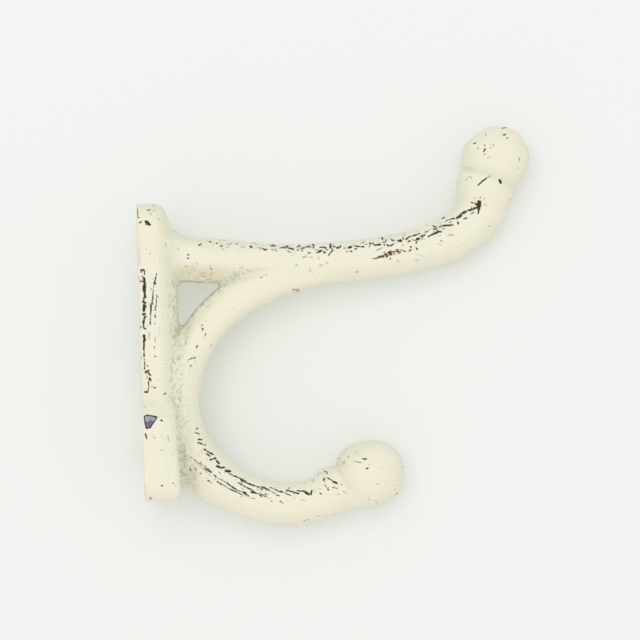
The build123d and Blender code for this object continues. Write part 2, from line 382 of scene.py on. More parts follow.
# ------------------------------------------------------------------ the wear
# Strokes on the side that faces the camera, placed in the 640 x 640
# frame: (half width, x, y, x, y, ...). Bare ones are rubbed to the metal, thin
# ones only to a brown undercoat, and rusty ones have red in them.
BARE = [
    # upper arm, from the wall outwards
    (0.8, 188, 254.5, 188.2, 255), (0.9, 188, 258, 188.3, 258.3), (0.8, 199, 245, 201.5, 243.6),
    (0.7, 209, 241.5, 210.5, 241), (0.8, 216.5, 242.8, 217.5, 242.4), (1.0, 221, 245.3, 222, 245.8),
    (0.9, 211, 268.6, 211.5, 269.2), (0.8, 202.5, 276.8, 203.6, 276.3), (0.7, 193.5, 236.5, 194.5, 236.3),
    (0.7, 227, 246.6, 227.6, 247.1), (0.7, 236, 243.3, 238, 243.8), (1.35, 250.8, 245.8, 251.6, 246.6),
    (0.7, 259.1, 247.1, 262.7, 248.3), (0.9, 262.7, 248.5, 266.2, 249.5, 267, 248.8),
    (0.7, 270.5, 245.3, 272.5, 245), (1.1, 273, 244.8, 274.6, 245.3), (0.6, 275, 245.5, 277.7, 246.4),
    (0.7, 276.2, 250.2, 277, 251), (0.8, 280, 247.4, 283, 246.6), (1.0, 284, 246.8, 287.5, 245.7),
    (1.1, 289.1, 247.3, 293.4, 248.8), (1.0, 297.3, 246, 299.8, 245.1), (0.9, 297.7, 249.4, 298.3, 249.7),
    (0.7, 288.8, 251.5, 289.6, 251.7), (0.7, 293.6, 254.2, 294.6, 255), (1.0, 302, 247.8, 303.4, 247.2),
    (0.6, 303.4, 247.2, 307.5, 246.1), (0.8, 302, 250.4, 302.8, 251), (0.8, 307.7, 245.7, 310.3, 246.3),
    (1.1, 312.6, 244, 313.8, 245), (1.0, 308.9, 252.6, 310.2, 252.2), (0.5, 311, 247.3, 314.3, 247.2),
    (1.0, 315.8, 252.4, 318, 252), (1.4, 318.5, 251.6, 321.2, 250), (0.9, 320, 246.8, 323, 246.3),
    (1.0, 323, 246.6, 325.8, 247.6), (1.0, 324, 251.4, 325, 252.2), (0.6, 326, 249.2, 328, 249.6),
    (1.4, 330.2, 244.3, 330.6, 247.3), (1.1, 333.4, 245.8, 334.8, 246.6), (1.2, 332.4, 248.6, 331.6, 251.4),
    (0.9, 331.2, 252, 328.6, 254.4), (1.0, 336.8, 247.5, 338, 247.2), (1.1, 340.3, 245.4, 340.4, 246.6),
    (0.9, 343.6, 248, 345.2, 247.6), (1.5, 348.8, 247.2, 351, 246.6), (0.9, 350.8, 250.8, 351.8, 251.4),
    (1.1, 355, 249, 356.2, 248.4), (0.5, 354.5, 245.4, 361, 246.6), (1.2, 362.6, 246.6, 363.6, 245.8),
    (0.9, 363, 242.2, 364, 241.8), (0.7, 365, 244.2, 367, 243.8), (0.8, 369.3, 243, 371, 242.6),
    (0.6, 369, 248.2, 369.6, 245.4), (0.9, 373, 242.8, 375.2, 245.2), (1.4, 378, 244.6, 380.2, 244.2),
    (0.7, 374.6, 244.4, 378, 244), (1.1, 381.8, 237, 382.4, 238.4), (0.9, 386.4, 239.2, 385.4, 241),
    (0.8, 382.6, 241.6, 385, 241.8), (0.7, 384, 244, 384.4, 244.8), (0.6, 375.6, 251.4, 378, 249.6),
    (0.5, 378, 249.2, 382, 247.8), (0.8, 391, 239.4, 393, 239.6), (0.7, 387, 244, 388.2, 245.2),
    (0.9, 391, 245.6, 394, 243), (1.7, 399.2, 240.4, 400.8, 240.2), (1.0, 402.8, 237.4, 403.4, 239),
    (0.9, 402, 245.2, 403, 244.8), (1.0, 406, 238.6, 409.4, 236.4), (0.7, 410, 236.2, 415, 235),
    (0.9, 415, 234.8, 419.4, 233.4), (1.1, 408.8, 240.8, 409.8, 240.6), (0.6, 413, 239.6, 415, 240.6),
    (0.9, 416.2, 242.8, 417, 241.6), (1.7, 417.2, 238.8, 418.8, 238.2), (1.3, 421.4, 236, 424.6, 234.8),
    (1.0, 425, 231.8, 427.4, 231.2), (0.8, 410.6, 246.8, 411.4, 246.4), (0.9, 416.6, 248.6, 417.4, 249.4),
    (1.1, 428.4, 236.2, 433.6, 233.6), (1.4, 434.6, 233, 438.6, 231.6), (1.1, 437, 230.4, 441, 231.6),
    (1.3, 434, 228.8, 436.4, 228.2), (0.8, 432.4, 225.4, 435.6, 226.6), (0.9, 439.4, 227, 443, 225.6),
    (1.2, 443.4, 225.4, 448, 225), (0.7, 442.4, 229, 444.4, 228.4), (1.2, 448.4, 225.2, 452.4, 224.6),
    (0.8, 449.4, 222, 451, 221.4), (0.9, 442.4, 218, 443.8, 217.2), (0.8, 446, 220.2, 450.6, 218.6),
    (1.0, 451, 218.4, 454, 218), (0.7, 441, 241, 442, 240.6), (1.1, 457.8, 222, 458.2, 224),
    (1.5, 457, 217.6, 460.8, 215.6), (1.0, 459.4, 215, 461, 213.8), (1.6, 462.6, 212.8, 465.6, 211.6),
    (0.8, 463.4, 218.8, 464.4, 218.2), (1.2, 467.4, 210.4, 474, 208.8), (0.8, 470.6, 214, 474, 212.4),
    (0.8, 470.8, 202.4, 474.6, 203.6), (1.2, 475.6, 204, 478, 205), (1.3, 474.6, 208.2, 478.4, 207.6),
    (2.2, 478.9, 202.2, 479, 206), (1.6, 479.2, 205, 478.8, 209.6), (1.1, 478.6, 209, 478.4, 213), (0.8, 480, 197.2, 480.6, 198),
    (1.0, 295, 294, 297, 293.2, 299, 293),
    # upper ball and bead
    (1.0, 485, 149, 483.2, 151.8), (1.0, 484.2, 154.6, 485.2, 154.2), (0.7, 484.5, 144.6, 484.9, 145.6),
    (0.8, 493, 145.2, 494, 144.8), (0.6, 477.4, 148.4, 478.2, 148.6), (0.8, 473.4, 143, 474.8, 143.1),
    (1.1, 504.4, 134.6, 505.8, 133.8), (0.8, 502, 128.2, 506.4, 126.9), (0.8, 506.8, 137.4, 507.6, 138.4),
    (0.6, 506.8, 143.4, 507, 144.6), (0.6, 519.4, 157.6, 520.2, 161.2),
    (1.0, 478, 185, 483, 180.6), (0.9, 483, 180.6, 486.4, 178.1), (0.5, 486.4, 178.1, 490, 176),
    (1.2, 499.8, 180.6, 501.2, 182.6), (0.7, 510.4, 199, 510.6, 199.8),
    # lower arm: marks down the inner half
    (0.7, 192.4, 420.2, 193, 420.6), (1.1, 196.4, 429, 197.6, 428.4), (0.8, 195.6, 432.4, 199.4, 433.7),
    (0.9, 198.6, 439.1, 202.2, 439.4), (0.7, 197.8, 442.3, 205.6, 445), (0.9, 203.9, 448.9, 206.3, 450),
    (0.7, 207.8, 451.3, 213.7, 454.2), (1.0, 206.7, 453.6, 210.6, 456.3), (1.3, 211.1, 459.4, 215.6, 458),
    (1.4, 217.2, 461.1, 219.4, 462.9), (1.4, 217.2, 465.8, 221.1, 467.6, 224.4, 466.9),
    (1.7, 226.1, 471, 230.6, 470.9), (1.0, 229.4, 473.3, 238.3, 477.2), (0.9, 238.3, 477.2, 245, 480.4),
    (1.3, 241.7, 479.8, 245.6, 481.3), (1.0, 245.6, 482.2, 252.8, 485), (0.9, 252.8, 485, 259.4, 487),
    (1.0, 261.7, 486.4, 262.6, 488.4), (1.1, 264, 486.8, 267.2, 489.4), (0.6, 270.6, 487.2, 277.2, 489.8),
    (1.0, 276.7, 490.2, 282.8, 491.8), (0.8, 282.8, 491.8, 290.6, 495.2), (0.9, 286.7, 489.6, 292.2, 491),
    (1.2, 292.2, 491.1, 298.3, 493.2), (1.1, 297.2, 490, 303.9, 490.7), (1.6, 305.6, 492, 308.3, 494),
    (1.3, 311.8, 490, 311.1, 494), (0.7, 288.5, 486.9, 289.3, 487.6),
    (0.45, 190.6, 456.7, 196, 461, 201.7, 465.6), (0.8, 203.3, 467.8, 207, 470), (0.6, 207, 470, 211.7, 472.3),
    (1.1, 214.4, 475.4, 216.1, 476.9), (0.8, 220.6, 479.4, 223.3, 479.9), (0.8, 225, 481.7, 231.7, 486.5),
    (1.0, 231.7, 486.5, 236.7, 489.8), (0.5, 237.2, 490.2, 242.8, 492.2), (1.3, 242.8, 492, 245.6, 493.6),
    (1.1, 245.6, 493.8, 248.6, 495.8), (1.0, 238.3, 482.8, 242, 485), (0.8, 242, 485, 245.6, 486.8),
    (1.3, 251.7, 492, 254, 492.4), (1.2, 254, 492.6, 257.2, 493.5), (0.9, 260, 495.4, 261.7, 496.8),
    (0.8, 253.4, 498.2, 254.6, 498.6), (0.8, 276.1, 494.6, 279.4, 495.9), (0.8, 280, 501.3, 283.3, 503.1),
    (0.6, 271, 501.4, 272.6, 501.2), (0.9, 189.5, 469, 190.6, 470.8), (0.7, 194.8, 468.4, 196.6, 470.4),
    (0.7, 200.2, 473, 201, 473.6), (0.9, 208.3, 480.6, 211.9, 483), (0.6, 219.6, 472.6, 220.6, 473),
    (0.6, 216, 477, 225, 481.9), (0.55, 217.5, 481.5, 229, 488.6), (0.55, 229, 488.6, 243, 495),
    (0.55, 246, 487, 253, 490.4), (0.55, 258, 493, 266, 496.6), (0.5, 200, 462, 210, 470.5), (0.5, 268, 489, 275, 493),
    # lower bead and ball
    (0.8, 320, 493.2, 320.8, 494), (0.8, 324, 471, 325, 470.8), (0.8, 326.6, 472.2, 327.2, 473.4),
    (0.8, 323.8, 477.5, 323.5, 480.4), (0.6, 327.7, 477.4, 331.4, 480), (1.0, 331.4, 480, 333.6, 481.2),
    (1.4, 333.6, 481.3, 336.6, 482.8), (0.6, 341.4, 484.4, 342.4, 484.6), (0.8, 324.5, 484.8, 326.4, 487.4),
    (0.9, 327.6, 489.2, 328.4, 490), (0.9, 332.6, 487.2, 334.4, 487.6), (0.5, 334.4, 487.6, 337.7, 488.6),
    (0.8, 338.2, 494, 339.2, 494.6), (0.5, 354.5, 461.4, 360.5, 462.4), (0.8, 362.7, 458.6, 366.8, 459.1),
    (1.1, 366.8, 468.6, 367.8, 468.2), (0.7, 397, 494.6, 399.4, 492.6), (0.6, 318, 516.1, 319.4, 516.3),
    (0.5, 322, 517.5, 323, 517.5), (0.5, 326.8, 516, 327.8, 516), (0.5, 346.2, 512.1, 347.4, 512),
    (0.5, 303.4, 520.8, 304.6, 520.8),
    # side of the lower arm
    (0.9, 201.4, 325.8, 202.4, 325), (1.1, 202.3, 328.4, 202.8, 329.8), (0.8, 206, 333.4, 205.4, 335),
    (1.0, 197.6, 345.8, 196.4, 347.6), (0.45, 187.2, 362.2, 188.3, 360, 191.7, 358.3, 194.4, 357.9),
    (1.1, 194.2, 358, 195.2, 357.6), (0.8, 190.4, 365.6, 191.6, 366.2), (0.6, 200.6, 402.6, 200.4, 406),
    # plate: tab and the long ragged line down its side
    (1.0, 147.5, 209.7, 150, 209.4), (0.9, 139.4, 223, 141.6, 221.4), (1.9, 146, 221.6, 147.6, 222.6),
    (1.7, 147.6, 222.6, 149.6, 224.6), (0.6, 137.6, 274, 137.8, 281),
    (0.6, 139.4, 255.5, 139.8, 257), (0.6, 141.2, 264, 141.8, 265), (0.5, 149.4, 253.4, 150.2, 253.6),
    (1.1, 141.2, 269.8, 144, 269.8), (1.0, 140.9, 270, 141.4, 272.6), (1.1, 144.2, 270, 144.4, 274.6),
    (1.1, 142, 276.2, 144.2, 277.6), (0.9, 141.2, 281, 143.6, 281.8), (1.5, 144.4, 279, 144.6, 284),
    (1.9, 144.2, 286.6, 144.2, 290.6), (1.5, 144.6, 291, 144.8, 297), (1.1, 144.4, 297, 143.6, 300.4),
    (1.4, 143.2, 302, 145.2, 302.8), (1.9, 144, 305.6, 143.8, 310.6), (1.4, 142.8, 314.2, 145.2, 313.8),
    (1.2, 144.8, 317, 144.2, 320.4), (1.3, 143.8, 320.4, 143.4, 323.6), (1.0, 143.6, 324, 143.7, 328),
    (1.1, 144.6, 329, 146, 328.6), (0.7, 147, 270, 147.8, 270.3), (1.5, 144, 335.6, 144.8, 340.2),
    (1.4, 144, 341, 143.9, 350), (1.1, 143.9, 350, 144.1, 356), (0.6, 144.3, 358.8, 144.7, 369),
    (0.8, 147.4, 365.4, 148, 366.6), (1.2, 145.2, 372.4, 149, 370.6), (1.2, 148.9, 373.2, 150.4, 375.4),
    (1.6, 149.6, 378.6, 150.4, 380), (0.9, 148.5, 381.6, 148.3, 391), (1.1, 145, 391.8, 147.4, 392.3),
    (0.8, 156.5, 274, 155.3, 279.6), (1.4, 154.8, 282.6, 155.4, 283.2), (0.9, 154, 285, 153.4, 289),
    (0.6, 153.4, 289, 152.8, 297), (0.6, 152.6, 300, 152.3, 302), (1.0, 151, 306, 151, 312.6),
    (0.6, 150.6, 313, 150.4, 322.6), (0.9, 150.2, 322.8, 150.6, 324), (0.6, 156.6, 296, 156.4, 303.4),
    (0.5, 155.6, 305.4, 155.3, 308), (0.9, 155, 315, 155, 317), (0.5, 154.9, 322.6, 155, 324.6),
    (1.0, 154.2, 348.4, 154.9, 346.8), (0.6, 154.8, 356, 155.2, 356.6), (1.0, 153.8, 387.4, 155.4, 388),
    (0.6, 156.6, 273.6, 155.3, 280, 154, 285, 153.4, 290, 152.8, 297, 152.2, 302, 151.2, 306),
    (0.5, 156.8, 295, 156.3, 304, 155.4, 310), (0.7, 137.5, 257, 137.6, 262), (1.0, 137.5, 263.6, 137.6, 272),
    (0.7, 137.2, 209, 137.3, 216), (0.6, 137, 217.6, 139, 217.4),
    (0.9, 163.8, 394.6, 166, 393.2), (1.2, 161.2, 420.4, 162.2, 420.8), (0.9, 145.6, 433.8, 146.7, 439),
    (0.9, 161.4, 486, 162.4, 485.9), (0.8, 173.2, 483.2, 174, 483.5), (0.9, 149.6, 498.6, 151.2, 499.2),
]
THIN = [
    (0.9, 227.3, 244.2, 231.8, 243), (0.9, 241.4, 247.4, 245, 246.6), (1.0, 254.5, 242.5, 256, 244),
    (1.0, 272, 249, 276, 250), (1.2, 303.5, 257.4, 306.4, 256.2), (1.0, 310, 257.2, 312, 257.4),
    (0.9, 318.3, 257, 318.9, 259), (1.0, 296.2, 265.2, 297.6, 265.5), (0.8, 310, 268.6, 310.4, 271.4),
    (1.0, 319.6, 266, 321, 265), (0.9, 322.6, 265.4, 323.4, 265), (1.0, 326.6, 263, 327.6, 263.2),
    (1.1, 260.4, 277.7, 262, 277.2), (0.8, 265.8, 275, 266.8, 274.8), (1.6, 293.6, 290, 298.4, 290.4),
    (0.8, 228, 238, 231, 238.3), (0.9, 272.6, 240.3, 276, 240.4), (0.8, 330.6, 240.2, 335, 240),
    (1.0, 346.6, 251.4, 348.4, 251.2), (0.7, 390, 235, 390.6, 234.8), (0.7, 404.4, 232, 404.6, 233),
    (0.7, 404.4, 235, 404.7, 236), (0.6, 420.6, 239.6, 425, 239.2), (0.8, 429, 229.4, 431, 228.6),
    (0.6, 426.4, 225.2, 427.6, 224.8), (1.0, 448, 235.4, 453, 235), (0.8, 437, 243.6, 441, 245),
    (0.9, 416, 254.6, 418.4, 254.4), (0.8, 421.4, 255.6, 422.6, 256.2), (0.8, 415, 260.6, 418, 260.6),
    (0.9, 397.6, 260.4, 398.6, 262), (1.0, 356.4, 272.6, 358, 272), (0.8, 470.6, 207.4, 472.4, 206.8),
    (0.7, 483.6, 199.4, 484.8, 198), (0.8, 474, 198.4, 476, 197.8), (0.6, 484, 204, 487, 206),
    (0.8, 487.5, 157.6, 490, 156.7), (0.7, 490.4, 147.6, 491.6, 147), (0.7, 486, 133, 485.4, 136),
    (0.8, 517.6, 169, 518.6, 168.2), (0.7, 521.8, 144.6, 522.2, 145.6), (1.0, 465.4, 180.4, 466.8, 179),
    (0.9, 469, 176.6, 471.4, 178), (0.8, 468.4, 167.4, 470, 167.6), (0.8, 488.4, 226, 490, 226),
    (0.9, 450, 235.3, 452.4, 235.3), (0.8, 457, 181.6, 457.6, 182),
    (0.6, 201.4, 452, 202.4, 452.6), (0.6, 199, 455.4, 200, 456), (0.5, 196, 462.6, 204, 470, 211, 476),
    (0.6, 217.8, 482, 222.2, 485.2), (0.5, 224, 486, 236, 492.4), (0.6, 205.6, 477.6, 207, 478.4),
    (0.7, 257.2, 489, 259.4, 491.6, 261.7, 494), (0.5, 270.6, 491.7, 276, 494), (0.5, 263, 495, 270.6, 499),
    (0.8, 264, 494.4, 268.4, 494.2), (0.5, 245.6, 486.8, 251.8, 488.6), (0.7, 214, 479.6, 215, 480.6),
    (0.6, 293.6, 497, 295, 499.6), (0.6, 301, 499, 305, 501), (0.8, 319, 488.4, 320.4, 488.7),
    (0.7, 314, 490, 316, 492.6), (0.5, 343, 491, 347, 493.4), (0.9, 343, 462, 345, 462.6),
    (0.8, 347, 456.8, 348, 456.2), (0.9, 338, 458, 338.8, 459), (0.4, 340, 461, 338, 465),
    (0.7, 368.6, 464.6, 369.6, 464.8), (0.9, 377, 483.6, 378.6, 484.4), (0.8, 381.6, 467, 382.4, 467.4),
    (0.7, 395, 490, 396, 489.6), (0.6, 396.4, 485.6, 397, 486), (0.8, 334, 515, 335, 515),
    (0.8, 308, 520, 309, 519.8), (0.8, 402.6, 466.4, 403.2, 467.4),
    (0.6, 205.2, 321.6, 206, 320), (0.6, 204, 337.4, 205.4, 335.4), (0.6, 194.6, 359.6, 196.4, 363),
    (0.7, 224, 337.6, 222.8, 339), (0.6, 220.6, 341, 221.4, 340), (0.6, 209, 357.6, 210, 357.2),
    (0.6, 204.4, 421.6, 204.6, 423), (0.6, 208.6, 433.2, 209.6, 433.4),
    (0.7, 153.4, 204.4, 154.2, 205), (0.6, 154.6, 208.6, 154, 210.4, 152.6, 211.2), (0.7, 150, 213, 151.4, 214.4),
    (0.7, 178, 248.4, 178.4, 249), (0.8, 165.4, 243.6, 165.6, 246.6), (0.7, 168, 257.6, 168.6, 258.2),
    (0.7, 196, 263.6, 198, 264.2), (0.6, 209.4, 265.4, 210.6, 265.6), (0.6, 212, 272, 212.2, 273.6, 210, 275.6),
    (0.6, 201.6, 247, 202.2, 247.6), (0.6, 184, 266.6, 188, 266), (0.6, 206, 279.6, 212, 279.4),
    (0.5, 180, 281.6, 190, 281.4, 200, 282), (0.8, 196.5, 282.8, 202.5, 283),
    (0.7, 139.8, 258.6, 140.2, 262), (0.7, 136.3, 280, 136.5, 290), (0.6, 136.6, 290, 136.9, 303),
    (0.5, 159, 326.4, 159.2, 328.6), (0.5, 159.2, 331, 159.2, 334), (0.6, 145, 406.6, 145.8, 407),
    (0.7, 158.2, 378.8, 158.6, 380), (0.7, 152.8, 434.4, 154.2, 438.4), (0.6, 161.6, 434, 162, 438),
    (0.7, 168, 436, 169.2, 441), (0.6, 160, 450.6, 163.6, 449.6), (0.6, 175.4, 485.8, 176, 486.4),
    (0.9, 158.6, 219, 159.8, 219.6), (0.8, 155, 337.6, 155.2, 342), (0.7, 149, 333, 149.2, 339),
]
RUSTY = [
    (0.8, 373, 258.8, 378, 258), (1.4, 378, 257.6, 383.6, 256), (1.1, 383.6, 255.2, 386.4, 253.8),
    (1.3, 389.4, 253.6, 391, 254.4), (1.2, 391, 252.4, 395.4, 251.4), (1.0, 394.4, 253.4, 395.6, 255),
    (0.9, 396.4, 251.6, 400.6, 251.4), (0.8, 390.2, 258.6, 390.8, 259.4), (1.0, 403.4, 251, 405.4, 251.4),
    (0.8, 408, 251.4, 409.4, 251), (0.8, 410, 250.2, 411.4, 249.8), (1.1, 298.6, 292.9, 300.4, 292.5),
    (0.6, 503, 135, 505, 134), (0.6, 260, 488, 262, 490),
    (0.9, 388.4, 252.4, 391, 250.8), (0.8, 392.4, 254.8, 394.8, 253.4), (0.8, 396.2, 250, 398, 249.8),
    (0.8, 398.4, 252.8, 400.2, 253.6), (0.8, 386.4, 256.8, 388, 255.6), (0.8, 383.4, 253, 385.2, 252.2),
    (0.7, 401.4, 249.6, 402.6, 250.4),
]
CHIP = [(143.2, 416.1), (146.7, 413.9), (157.8, 415.6), (157.2, 418.9), (152.8, 425), (151.1, 428.3),
        (145.8, 429.4), (144.4, 424.4)]
# Painted shade: a dark grey-green line in the seam between plate and lower arm.
SEAM_SHADE_STROKES = [
    (1.1, 219.4, 286.6, 212.2, 292.8, 205.4, 299.4, 198.2, 306.4, 191.2, 313.4, 185, 321, 180, 328.6, 176.2, 336),
    (0.9, 219, 284.4, 228.6, 281.6, 232.3, 277.2, 236.4, 276.4, 241.4, 273.6, 245, 273.8),
    (0.9, 170.6, 380, 171, 380.6), (0.8, 173, 387.6, 173.6, 388.4), (0.8, 177.2, 411, 177.5, 412.4),
    (0.8, 178, 417.4, 178.6, 418.2), (1.0, 178.6, 437.6, 179, 438.6), (1.1, 180.6, 450.2, 181, 452),
    (0.9, 180.4, 472.4, 181, 473), (1.2, 183.6, 474.6, 184.8, 475.6), (1.0, 175.6, 335, 175.4, 337),
    (0.9, 181, 354, 181.6, 355) , (0.8, 172, 366, 172.6, 372), (0.8, 174.6, 400, 175.4, 405),
]


# Soft wide tints of painted shade: greenish along the upper edges of the arms and tab, in creases and round the beads,
# and a yellow-brown one under the short bar.
GREEN_SHADE_STROKES = [
    (3.0, 173, 232, 185, 238), (3.5, 184, 239.5, 226, 243), (3.0, 175.5, 250, 175.5, 285),
    (4.0, 175.5, 285, 175.5, 345, 176.5, 400, 181, 440, 183.5, 476),
    (3.2, 221, 289, 214, 295, 207, 302, 200, 308.5, 193.5, 315.5, 187.5, 323.5, 183, 332, 180, 346),
    (2.6, 221, 287, 232, 281, 243, 276, 256, 272), (5.0, 146, 402, 166, 400), (2.0, 160, 404, 168, 420, 170, 480),
    (5.5, 341, 463, 347, 453), (4.5, 321, 475, 333, 466), (1.6, 475, 169.5, 484, 170.5, 494, 173.5, 506, 178),
    (3.5, 465.5, 142, 469, 164), (3.5, 461, 181, 464, 194), (2.2, 434, 224, 447, 216, 457, 204),
    (2.5, 146, 205, 158, 208, 166, 220), (2.0, 300, 238.5, 360, 238, 410, 231), (3.0, 192, 402, 199, 430, 214, 452),
    (2.0, 222, 462, 246, 478, 280, 486, 312, 484), (1.4, 196, 362, 188, 400, 190, 440), (3.0, 350, 447, 372, 443),
]
# Where the casting is rough and dirty, mottled light and dark.
ROUGH = [
    (3.4, 175.5, 286, 175.8, 345, 178, 400, 181, 440, 183.5, 478), (1.6, 218, 289, 208, 299, 197.5, 309, 188, 320, 181.5, 334, 179, 350),
    (3.6, 344, 459, 350, 452), (2.0, 222, 284, 236, 277, 247, 272), (2.4, 313, 478, 322, 468),
    (2.0, 372, 500, 372, 500), (1.4, 189, 268, 206, 277), (1.6, 206, 241, 262, 244),
]
YELLOW_SHADE_STROKES = [(5.0, 184, 274, 216, 273), (1.2, 181, 281.8, 216, 282.2), (3.0, 162, 222, 163, 232)]


def stroke_distance(px, py, strokes, reach):
    """Least of (distance - half width) to any stroke, in pixels, for points within reach of one."""
    best = np.full(px.shape, 99.0)
    order = np.argsort(px)
    sx = px[order]
    for row in strokes:
        w, pts = row[0], np.array(row[1:], float).reshape(-1, 2)
        a = np.searchsorted(sx, pts[:, 0].min() - reach)
        b = np.searchsorted(sx, pts[:, 0].max() + reach)
        near = order[a:b]
        near = near[(py[near] > pts[:, 1].min() - reach) & (py[near] < pts[:, 1].max() + reach)]
        x, y = px[near], py[near]
        for (x0, y0), (x1, y1) in zip(pts[:-1], pts[1:]):
            ex, ey = x1 - x0, y1 - y0
            t = np.clip(((x - x0) * ex + (y - y0) * ey) / (ex * ex + ey * ey + 1e-9), 0, 1)
            best[near] = np.minimum(best[near], np.hypot(x - x0 - t * ex, y - y0 - t * ey) - w)
    return best


def nearest_part(p):
    """0 upper arm, 1 lower arm, 2 plate, 3 balls and beads."""
    x, u, z = p.T
    balls = np.minimum.reduce([ball_form(c, r, x, u, z) for c, r in (
        (UPPER_BALL, BALL_R), (LOWER_BALL, BALL_R), (UPPER_BEAD, UPPER_BEAD_R), (LOWER_BEAD, LOWER_BEAD_R))])
    part = np.argmin(np.stack([arm_form(upper, x, u, z), arm_form(lower, x, u, z), plate_form(x, u, z), balls]), 0)
    return np.where(u < 4.0, 2, part)


def on_arm(arm, s, c):
    """The reach and height of a point s along an arm and c to its left."""
    run = np.concatenate([[0], np.cumsum(np.hypot(*np.diff(arm.line[:, :2], axis=0).T))])
    lu, lz = (lambda q: np.interp(q, run, arm.line[:, 0])), (lambda q: np.interp(q, run, arm.line[:, 1]))
    tu, tz = lu(s + 0.6) - lu(s - 0.6), lz(s + 0.6) - lz(s - 0.6)
    h = np.maximum(np.hypot(tu, tz), 1e-6)
    return lu(s) - c * tz / h, lz(s) + c * tu / h


def far_side_stand_in(p):
    """The far side is worn like the near one, but not in the same places: where to look on the
    near side for the wear of a point on the far one."""
    x, u, z = p.T.copy()
    part = nearest_part(p)
    s, c, _, _ = upper.at(u, z)
    uu, uz = on_arm(upper, np.maximum(s - 8.5, 3), c)
    s, c, _, _ = lower.at(u, z)
    lu, lz = on_arm(lower, s + 6.0, c)
    bu, bz = np.where(z > 20, UPPER_BALL[0], LOWER_BALL[0]), np.where(z > 20, UPPER_BALL[1], LOWER_BALL[1])
    turn = math.radians(70)
    du, dz = u - bu, z - bz
    ru, rz = bu + du * math.cos(turn) - dz * math.sin(turn), bz + du * math.sin(turn) + dz * math.cos(turn)
    q = np.stack([-np.abs(x), np.choose(part, [uu, lu, u, ru]), np.choose(part, [uz, lz, z + 7.0, rz])], 1)
    return q


def whole(strokes):
    """Widens the long thin scratches a little, so that the noise doesn't break them up."""
    out = []
    for row in strokes:
        run = np.diff(np.array(row[1:], float).reshape(-1, 2), axis=0)
        long = np.hypot(*run.T).sum() > 4.5
        out.append((row[0] + 0.20, *row[1:]) if long and row[0] <= 0.75 else row)
    return out


def wear_fields(p, n):
    """Signed distances in millimetres to the bare, thin, rusty and chipped strokes and to the seam's painted shade,
    with soft weights for the tints of painted shade and the rough patches.
    """
    facing = n @ np.array([up[0], -up[1], up[2]])
    far = (facing < -0.03) & (p[:, 0] > 0)
    at_wall = (n[:, 1] < -0.75) & (p[:, 1] < 0.6)
    far &= ~at_wall
    away = ((facing < 0.03) & ~far) | at_wall
    mirrored, stand_in = p.copy(), p.copy()
    mirrored[far, 0] *= -1
    stand_in[far] = far_side_stand_in(p[far])
    warp = 0.20 + 0.36 * noise(p, 0.75, 31) + 0.26 * noise(p, 0.36, 32)
    out = {}
    px, py = seen_at(stand_in)
    for name, strokes, rough in (("bare", BARE, 1.0), ("thin", THIN, 0.8), ("rusty", RUSTY, 1.0), ("seam_shade", SEAM_SHADE_STROKES, 1.0)):
        if name == "seam_shade":
            px, py = seen_at(mirrored)
        d = stroke_distance(px, py, whole(strokes), 9.0) + warp * rough
        d[away] = 30.0
        out[name] = np.minimum(d, 12.0) * 0.25
    patchy = 3.0 * noise(p, 2.2, 33) + 1.5 * noise(p, 0.8, 34)
    for name, strokes in (("green_shade", GREEN_SHADE_STROKES), ("yellow_shade", YELLOW_SHADE_STROKES), ("coarse", ROUGH)):
        d = stroke_distance(px, py, strokes, 12.0) + patchy
        out[name] = np.where(away, 0.0, 1 - ramp(d, -4.5, 7.5))
    x, u, z = p.T
    # painted shade: the plate's sloping dome is tinted darker and greener
    dome_shade = ramp(u, 4.6, 5.6) * (plate_form(x, u, z) < 0.6) * (1 - ramp(z, 25, 29)) * ramp(z, -16, -10)
    out["green_shade"] = np.maximum(out["green_shade"], 0.85 * dome_shade)
    d = polygon_form(px, py, CHIP) + warp * 0.5
    d[away | far] = 30.0
    out["chip"] = np.minimum(d, 12.0) * 0.25
    # How many bare strokes are close by: 0 beside a lone one, 1 in a worn band.
    px, py = seen_at(stand_in)
    crowd = np.zeros(len(p))
    order = np.argsort(px)
    for row in BARE:
        mid = np.array(row[1:], float).reshape(-1, 2).mean(0)
        a, b = np.searchsorted(px[order], (mid[0] - 9, mid[0] + 9))
        near = order[a:b]
        crowd[near] += np.maximum(1 - ((px[near] - mid[0]) ** 2 + (py[near] - mid[1]) ** 2) / 81, 0)
    out["dense"] = ramp(crowd, 1.0, 2.6) * ~away
    return out


def unit_normals(p):
    g = gradient(p[:, 0], p[:, 1], p[:, 2])
    return g / np.maximum(np.linalg.norm(g, axis=1), 1e-6)[:, None]


# ------------------------------------------------------------------- the skin
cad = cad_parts["hook_casting"]
start = cad.data.copy()
start.materials.clear()
write(start, read(start) * 1000.0)
VOXEL = 0.66
mesh = remeshed(start, 0.6)
write(mesh, row_mm(settle(form_mm(mesh), 4)))
mesh = remeshed(mesh, VOXEL)
p = settle(form_mm(mesh), 3)
write(mesh, row_mm(p))


def refined(mesh, chosen):
    """Splits the faces that hold a chosen point, once, and settles the new points."""
    bm = bmesh.new()
    bm.from_mesh(mesh)
    bm.verts.ensure_lookup_table()
    count = len(bm.verts)
    edges = {e for f in bm.faces if any(chosen[v.index] for v in f.verts) for e in f.edges}
    bmesh.ops.subdivide_edges(bm, edges=list(edges), cuts=1, use_grid_fill=True)
    bm.to_mesh(mesh)
    bm.free()
    q = form_mm(mesh)
    q[count:] = settle(q[count:], 2, 0.2)
    write(mesh, row_mm(q))
    return q


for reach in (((0.55, 0.26))):
    fields = wear_fields(p, unit_normals(p))
    near = np.min([np.abs(fields[k]) for k in ("bare", "rusty", "chip")], axis=0) < reach
    near |= np.minimum(fields["bare"], fields["rusty"]) < 0
    near |= fields["thin"] < reach * 0.45
    if reach < 0.4:
        near &= p[:, 0] < 2.0
    else:
        near |= joint_form(*p.T) < 0.5
    p = refined(mesh, near)

n = unit_normals(p)
fields = wear_fields(p, n)
x, u, z = p.T

